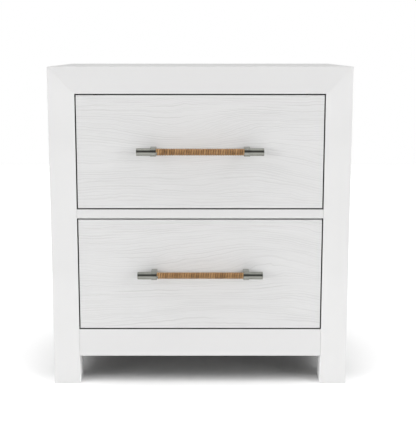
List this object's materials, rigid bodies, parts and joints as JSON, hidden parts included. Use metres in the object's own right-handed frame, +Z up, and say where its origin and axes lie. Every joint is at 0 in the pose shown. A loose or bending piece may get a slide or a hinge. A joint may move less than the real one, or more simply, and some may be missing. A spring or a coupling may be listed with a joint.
{
  "type": "nightstand",
  "caption": "Square-legged nightstand with a mitred frame, inset grained drawer fronts on ball-bearing slides, and cane-wrapped bar pulls.",
  "frame": {"origin": "on the floor, below the centre of the bounding box, pulls included", "axes": "+Z up, -Y out of the drawer fronts, +X to the right as seen from the front"},
  "size_m": [0.66, 0.4598, 0.711],
  "materials": {
    "case_paint": "satin white paint on smooth solid wood",
    "drawer_front_paint": "white paint over deep-brushed open grain that runs across the front",
    "panel_paint": "satin white paint on veneered panel",
    "drawer_board": "clear satin lacquer on pale hardwood boards",
    "drawer_ply": "clear lacquer on plywood",
    "dust_panel": "black-stained plywood",
    "slide_steel": "bright zinc-plated sheet",
    "pull_metal": "brushed pewter plating",
    "wrap_cane": "natural cane strand, lightly waxed",
    "glide_nylon": "moulded nylon"
  },
  "bodies": {
    "case": {"front_leg_left": "case_paint", "front_leg_right": "case_paint", "rear_leg_left": "case_paint", "rear_leg_right": "case_paint", "front_glide_left": "glide_nylon", "front_glide_right": "glide_nylon", "rear_glide_left": "glide_nylon", "rear_glide_right": "glide_nylon", "top_front_rail": "case_paint", "top_rear_rail": "case_paint", "top_side_rail_left": "case_paint", "top_side_rail_right": "case_paint", "top_panel": "panel_paint", "front_apron": "case_paint", "rear_apron": "case_paint", "side_apron_left": "case_paint", "side_apron_right": "case_paint", "divider_rail": "case_paint", "side_panel_left": "panel_paint", "side_panel_right": "panel_paint", "back_panel": "panel_paint", "bottom_panel": "dust_panel", "upper_slide_runner_left": "drawer_board", "upper_slide_runner_right": "drawer_board", "lower_slide_runner_left": "drawer_board", "lower_slide_runner_right": "drawer_board", "upper_slide_outer_left": "slide_steel", "upper_slide_outer_right": "slide_steel", "lower_slide_outer_left": "slide_steel", "lower_slide_outer_right": "slide_steel"},
    "upper_drawer": {"upper_drawer_front": "drawer_front_paint", "upper_drawer_sub_front": "drawer_board", "upper_drawer_side_left": "drawer_board", "upper_drawer_side_right": "drawer_board", "upper_drawer_back": "drawer_board", "upper_drawer_bottom": "drawer_ply", "upper_slide_inner_left": "slide_steel", "upper_slide_inner_right": "slide_steel", "upper_pull_bar": "pull_metal", "upper_pull_wrap": "wrap_cane", "upper_pull_bracket_left": "pull_metal", "upper_pull_bracket_right": "pull_metal"},
    "upper_slide_middles": {"upper_slide_middle_left": "slide_steel", "upper_slide_middle_right": "slide_steel"},
    "lower_drawer": {"lower_drawer_front": "drawer_front_paint", "lower_drawer_sub_front": "drawer_board", "lower_drawer_side_left": "drawer_board", "lower_drawer_side_right": "drawer_board", "lower_drawer_back": "drawer_board", "lower_drawer_bottom": "drawer_ply", "lower_slide_inner_left": "slide_steel", "lower_slide_inner_right": "slide_steel", "lower_pull_bar": "pull_metal", "lower_pull_wrap": "wrap_cane", "lower_pull_bracket_left": "pull_metal", "lower_pull_bracket_right": "pull_metal"},
    "lower_slide_middles": {"lower_slide_middle_left": "slide_steel", "lower_slide_middle_right": "slide_steel"}
  },
  "joints": [
    {"name": "upper_drawer_travel", "type": "slide", "parent": "case", "child": "upper_drawer", "axis": [0, -1, 0], "range_m": [0, 0.35]},
    {"name": "upper_slide_middle_travel", "type": "slide", "parent": "case", "child": "upper_slide_middles", "axis": [0, -1, 0], "range_m": [0, 0.175]},
    {"name": "lower_drawer_travel", "type": "slide", "parent": "case", "child": "lower_drawer", "axis": [0, -1, 0], "range_m": [0, 0.35]},
    {"name": "lower_slide_middle_travel", "type": "slide", "parent": "case", "child": "lower_slide_middles", "axis": [0, -1, 0], "range_m": [0, 0.175]}
  ],
  "couplings": [
    {"joint": "upper_slide_middle_travel", "follows": "upper_drawer_travel", "ratio": 0.5},
    {"joint": "lower_slide_middle_travel", "follows": "lower_drawer_travel", "ratio": 0.5}
  ]
}
